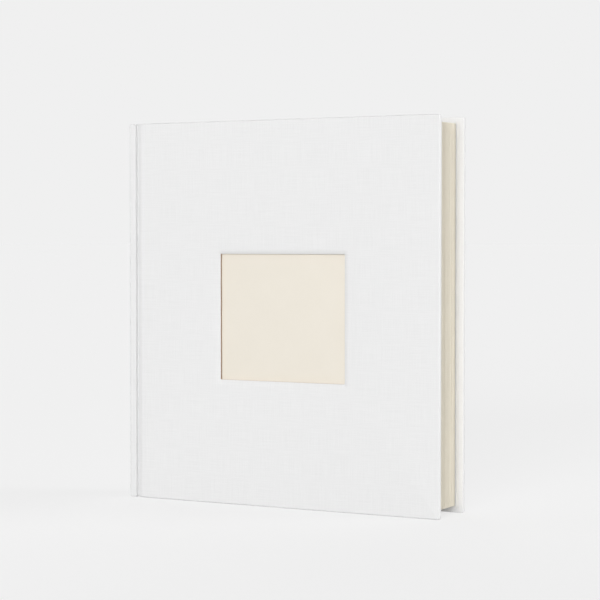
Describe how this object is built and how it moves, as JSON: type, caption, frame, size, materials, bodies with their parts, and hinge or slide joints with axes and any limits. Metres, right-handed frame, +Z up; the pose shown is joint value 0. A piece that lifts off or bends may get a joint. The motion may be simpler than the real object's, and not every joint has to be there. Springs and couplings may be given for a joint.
{
  "type": "scrapbook album",
  "caption": "Case-bound scrapbook album in pale bookcloth with a window in the front cover, a square spine and thick cream leaves.",
  "frame": {"origin": "under the middle of the closed album, on the surface that it stands on", "axes": "+Z up, from tail to head; +X from the spine to the fore-edge; the front cover faces -Y"},
  "size_m": [0.279, 0.0476, 0.305],
  "materials": {
    "bookcloth": "matte",
    "greyboard": "matte",
    "kraft_paper": "matte",
    "mull": "matte",
    "band_cord": "matte",
    "endpaper": "matte",
    "fill_card": "matte",
    "pocket_card": "matte",
    "insert_card": "matte",
    "leaf_card": "matte"
  },
  "bodies": {
    "spine": {"spine_cloth": "bookcloth", "spine_board_outer": "greyboard", "spine_board_inner": "greyboard", "spine_kraft_lining": "kraft_paper", "spine_mull": "mull", "head_band": "band_cord", "tail_band": "band_cord", "leaf_stubs": "leaf_card", "spacer_strips": "leaf_card"},
    "front_joint": {"front_joint_cloth": "bookcloth", "front_joint_lining": "endpaper"},
    "front_cover": {"front_board": "greyboard", "front_cover_cloth": "bookcloth", "front_fill_in": "fill_card", "front_pastedown": "endpaper", "pocket_spacers": "fill_card", "pocket_back": "pocket_card"},
    "insert": {"photo_insert": "insert_card"},
    "back_joint": {"back_joint_cloth": "bookcloth", "back_joint_lining": "endpaper"},
    "back_cover": {"back_board": "greyboard", "back_cover_cloth": "bookcloth", "back_fill_in": "fill_card", "back_pastedown": "endpaper"},
    "front_flyleaf": {"front_flyleaf": "endpaper"},
    "leaf_01": {"leaf_01": "leaf_card"},
    "leaf_02": {"leaf_02": "leaf_card"},
    "leaf_03": {"leaf_03": "leaf_card"},
    "leaf_04": {"leaf_04": "leaf_card"},
    "leaf_05": {"leaf_05": "leaf_card"},
    "leaf_06": {"leaf_06": "leaf_card"},
    "leaf_07": {"leaf_07": "leaf_card"},
    "leaf_08": {"leaf_08": "leaf_card"},
    "leaf_09": {"leaf_09": "leaf_card"},
    "leaf_10": {"leaf_10": "leaf_card"},
    "leaf_11": {"leaf_11": "leaf_card"},
    "leaf_12": {"leaf_12": "leaf_card"},
    "leaf_13": {"leaf_13": "leaf_card"},
    "leaf_14": {"leaf_14": "leaf_card"},
    "leaf_15": {"leaf_15": "leaf_card"},
    "leaf_16": {"leaf_16": "leaf_card"},
    "leaf_17": {"leaf_17": "leaf_card"},
    "leaf_18": {"leaf_18": "leaf_card"},
    "leaf_19": {"leaf_19": "leaf_card"},
    "leaf_20": {"leaf_20": "leaf_card"},
    "leaf_21": {"leaf_21": "leaf_card"},
    "leaf_22": {"leaf_22": "leaf_card"},
    "leaf_23": {"leaf_23": "leaf_card"},
    "leaf_24": {"leaf_24": "leaf_card"},
    "leaf_25": {"leaf_25": "leaf_card"},
    "leaf_26": {"leaf_26": "leaf_card"},
    "leaf_27": {"leaf_27": "leaf_card"},
    "leaf_28": {"leaf_28": "leaf_card"},
    "back_flyleaf": {"back_flyleaf": "endpaper"}
  },
  "joints": [
    {"name": "front_groove_fold", "type": "hinge", "parent": "spine", "child": "front_joint", "pos_m": [-0.13335, -0.02054, 0.1525], "axis": [0, 0, -1], "range_deg": [0, 90]},
    {"name": "front_cover_swing", "type": "hinge", "parent": "front_joint", "child": "front_cover", "pos_m": [-0.12665, -0.02054, 0.1525], "axis": [0, 0, -1], "range_deg": [0, 90]},
    {"name": "back_groove_fold", "type": "hinge", "parent": "spine", "child": "back_joint", "pos_m": [-0.13335, 0.02054, 0.1525], "axis": [0, 0, 1], "range_deg": [0, 90]},
    {"name": "back_cover_swing", "type": "hinge", "parent": "back_joint", "child": "back_cover", "pos_m": [-0.12665, 0.02054, 0.1525], "axis": [0, 0, 1], "range_deg": [0, 90]},
    {"name": "front_flyleaf_turn", "type": "hinge", "parent": "spine", "child": "front_flyleaf", "pos_m": [-0.12085, -0.01849, 0.1525], "axis": [0, 0, -1], "range_deg": [0, 81.05]},
    {"name": "leaf_01_turn", "type": "hinge", "parent": "spine", "child": "leaf_01", "pos_m": [-0.1205, -0.01757, 0.1525], "axis": [0, 0, -1], "range_deg": [0, 75.65]},
    {"name": "leaf_02_turn", "type": "hinge", "parent": "spine", "child": "leaf_02", "pos_m": [-0.12015, -0.01625, 0.1525], "axis": [0, 0, -1], "range_deg": [0, 72.95]},
    {"name": "leaf_03_turn", "type": "hinge", "parent": "spine", "child": "leaf_03", "pos_m": [-0.1198, -0.01493, 0.1525], "axis": [0, 0, -1], "range_deg": [0, 70.25]},
    {"name": "leaf_04_turn", "type": "hinge", "parent": "spine", "child": "leaf_04", "pos_m": [-0.11945, -0.01361, 0.1525], "axis": [0, 0, -1], "range_deg": [0, 67.55]},
    {"name": "leaf_05_turn", "type": "hinge", "parent": "spine", "child": "leaf_05", "pos_m": [-0.1191, -0.01229, 0.1525], "axis": [0, 0, -1], "range_deg": [0, 64.85]},
    {"name": "leaf_06_turn", "type": "hinge", "parent": "spine", "child": "leaf_06", "pos_m": [-0.11875, -0.01097, 0.1525], "axis": [0, 0, -1], "range_deg": [0, 62.15]},
    {"name": "leaf_07_turn", "type": "hinge", "parent": "spine", "child": "leaf_07", "pos_m": [-0.1184, -0.00965, 0.1525], "axis": [0, 0, -1], "range_deg": [0, 59.45]},
    {"name": "leaf_08_turn", "type": "hinge", "parent": "spine", "child": "leaf_08", "pos_m": [-0.11805, -0.00833, 0.1525], "axis": [0, 0, -1], "range_deg": [0, 56.75]},
    {"name": "leaf_09_turn", "type": "hinge", "parent": "spine", "child": "leaf_09", "pos_m": [-0.1177, -0.00701, 0.1525], "axis": [0, 0, -1], "range_deg": [0, 54.05]},
    {"name": "leaf_10_turn", "type": "hinge", "parent": "spine", "child": "leaf_10", "pos_m": [-0.11735, -0.00569, 0.1525], "axis": [0, 0, -1], "range_deg": [0, 51.35]},
    {"name": "leaf_11_turn", "type": "hinge", "parent": "spine", "child": "leaf_11", "pos_m": [-0.117, -0.00437, 0.1525], "axis": [0, 0, -1], "range_deg": [0, 48.65]},
    {"name": "leaf_12_turn", "type": "hinge", "parent": "spine", "child": "leaf_12", "pos_m": [-0.11665, -0.00305, 0.1525], "axis": [0, 0, -1], "range_deg": [0, 45.95]},
    {"name": "leaf_13_turn", "type": "hinge", "parent": "spine", "child": "leaf_13", "pos_m": [-0.1163, -0.00173, 0.1525], "axis": [0, 0, -1], "range_deg": [0, 43.25]},
    {"name": "leaf_14_turn", "type": "hinge", "parent": "spine", "child": "leaf_14", "pos_m": [-0.11595, -0.00041, 0.1525], "axis": [0, 0, -1], "range_deg": [0, 40.55]},
    {"name": "leaf_15_turn", "type": "hinge", "parent": "spine", "child": "leaf_15", "pos_m": [-0.1156, 0.00091, 0.1525], "axis": [0, 0, -1], "range_deg": [0, 37.85]},
    {"name": "leaf_16_turn", "type": "hinge", "parent": "spine", "child": "leaf_16", "pos_m": [-0.11525, 0.00223, 0.1525], "axis": [0, 0, -1], "range_deg": [0, 35.15]},
    {"name": "leaf_17_turn", "type": "hinge", "parent": "spine", "child": "leaf_17", "pos_m": [-0.1149, 0.00355, 0.1525], "axis": [0, 0, -1], "range_deg": [0, 32.45]},
    {"name": "leaf_18_turn", "type": "hinge", "parent": "spine", "child": "leaf_18", "pos_m": [-0.11455, 0.00487, 0.1525], "axis": [0, 0, -1], "range_deg": [0, 29.75]},
    {"name": "leaf_19_turn", "type": "hinge", "parent": "spine", "child": "leaf_19", "pos_m": [-0.1142, 0.00619, 0.1525], "axis": [0, 0, -1], "range_deg": [0, 27.05]},
    {"name": "leaf_20_turn", "type": "hinge", "parent": "spine", "child": "leaf_20", "pos_m": [-0.11385, 0.00751, 0.1525], "axis": [0, 0, -1], "range_deg": [0, 24.35]},
    {"name": "leaf_21_turn", "type": "hinge", "parent": "spine", "child": "leaf_21", "pos_m": [-0.1135, 0.00883, 0.1525], "axis": [0, 0, -1], "range_deg": [0, 21.65]},
    {"name": "leaf_22_turn", "type": "hinge", "parent": "spine", "child": "leaf_22", "pos_m": [-0.11315, 0.01015, 0.1525], "axis": [0, 0, -1], "range_deg": [0, 18.95]},
    {"name": "leaf_23_turn", "type": "hinge", "parent": "spine", "child": "leaf_23", "pos_m": [-0.1128, 0.01147, 0.1525], "axis": [0, 0, -1], "range_deg": [0, 16.25]},
    {"name": "leaf_24_turn", "type": "hinge", "parent": "spine", "child": "leaf_24", "pos_m": [-0.11245, 0.01279, 0.1525], "axis": [0, 0, -1], "range_deg": [0, 13.55]},
    {"name": "leaf_25_turn", "type": "hinge", "parent": "spine", "child": "leaf_25", "pos_m": [-0.1121, 0.01411, 0.1525], "axis": [0, 0, -1], "range_deg": [0, 10.85]},
    {"name": "leaf_26_turn", "type": "hinge", "parent": "spine", "child": "leaf_26", "pos_m": [-0.11175, 0.01543, 0.1525], "axis": [0, 0, -1], "range_deg": [0, 8.15]},
    {"name": "leaf_27_turn", "type": "hinge", "parent": "spine", "child": "leaf_27", "pos_m": [-0.1114, 0.01675, 0.1525], "axis": [0, 0, -1], "range_deg": [0, 5.45]},
    {"name": "leaf_28_turn", "type": "hinge", "parent": "spine", "child": "leaf_28", "pos_m": [-0.11105, 0.01807, 0.1525], "axis": [0, 0, -1], "range_deg": [0, 2.75]},
    {"name": "back_flyleaf_turn", "type": "hinge", "parent": "spine", "child": "back_flyleaf", "pos_m": [-0.1107, 0.01969, 0.1525], "axis": [0, 0, 1], "range_deg": [0, 87.35]},
    {"name": "photo_insert_slide", "type": "slide", "parent": "front_cover", "child": "insert", "axis": [0, 0, 1], "range_m": [0, 0.211]}
  ],
  "couplings": [
    {"joint": "front_cover_swing", "follows": "front_groove_fold", "ratio": 1},
    {"joint": "back_cover_swing", "follows": "back_groove_fold", "ratio": 1},
    {"joint": "front_flyleaf_turn", "follows": "front_groove_fold", "ratio": 0.9},
    {"joint": "leaf_01_turn", "follows": "front_groove_fold", "ratio": 0.84},
    {"joint": "leaf_02_turn", "follows": "front_groove_fold", "ratio": 0.81},
    {"joint": "leaf_03_turn", "follows": "front_groove_fold", "ratio": 0.78},
    {"joint": "leaf_04_turn", "follows": "front_groove_fold", "ratio": 0.75},
    {"joint": "leaf_05_turn", "follows": "front_groove_fold", "ratio": 0.72},
    {"joint": "leaf_06_turn", "follows": "front_groove_fold", "ratio": 0.69},
    {"joint": "leaf_07_turn", "follows": "front_groove_fold", "ratio": 0.66},
    {"joint": "leaf_08_turn", "follows": "front_groove_fold", "ratio": 0.63},
    {"joint": "leaf_09_turn", "follows": "front_groove_fold", "ratio": 0.6},
    {"joint": "leaf_10_turn", "follows": "front_groove_fold", "ratio": 0.57},
    {"joint": "leaf_11_turn", "follows": "front_groove_fold", "ratio": 0.54},
    {"joint": "leaf_12_turn", "follows": "front_groove_fold", "ratio": 0.51},
    {"joint": "leaf_13_turn", "follows": "front_groove_fold", "ratio": 0.48},
    {"joint": "leaf_14_turn", "follows": "front_groove_fold", "ratio": 0.45},
    {"joint": "leaf_15_turn", "follows": "front_groove_fold", "ratio": 0.42},
    {"joint": "leaf_16_turn", "follows": "front_groove_fold", "ratio": 0.39},
    {"joint": "leaf_17_turn", "follows": "front_groove_fold", "ratio": 0.36},
    {"joint": "leaf_18_turn", "follows": "front_groove_fold", "ratio": 0.33},
    {"joint": "leaf_19_turn", "follows": "front_groove_fold", "ratio": 0.3},
    {"joint": "leaf_20_turn", "follows": "front_groove_fold", "ratio": 0.27},
    {"joint": "leaf_21_turn", "follows": "front_groove_fold", "ratio": 0.24},
    {"joint": "leaf_22_turn", "follows": "front_groove_fold", "ratio": 0.21},
    {"joint": "leaf_23_turn", "follows": "front_groove_fold", "ratio": 0.18},
    {"joint": "leaf_24_turn", "follows": "front_groove_fold", "ratio": 0.15},
    {"joint": "leaf_25_turn", "follows": "front_groove_fold", "ratio": 0.12},
    {"joint": "leaf_26_turn", "follows": "front_groove_fold", "ratio": 0.09},
    {"joint": "leaf_27_turn", "follows": "front_groove_fold", "ratio": 0.06},
    {"joint": "leaf_28_turn", "follows": "front_groove_fold", "ratio": 0.03},
    {"joint": "back_flyleaf_turn", "follows": "back_groove_fold", "ratio": 0.97}
  ]
}
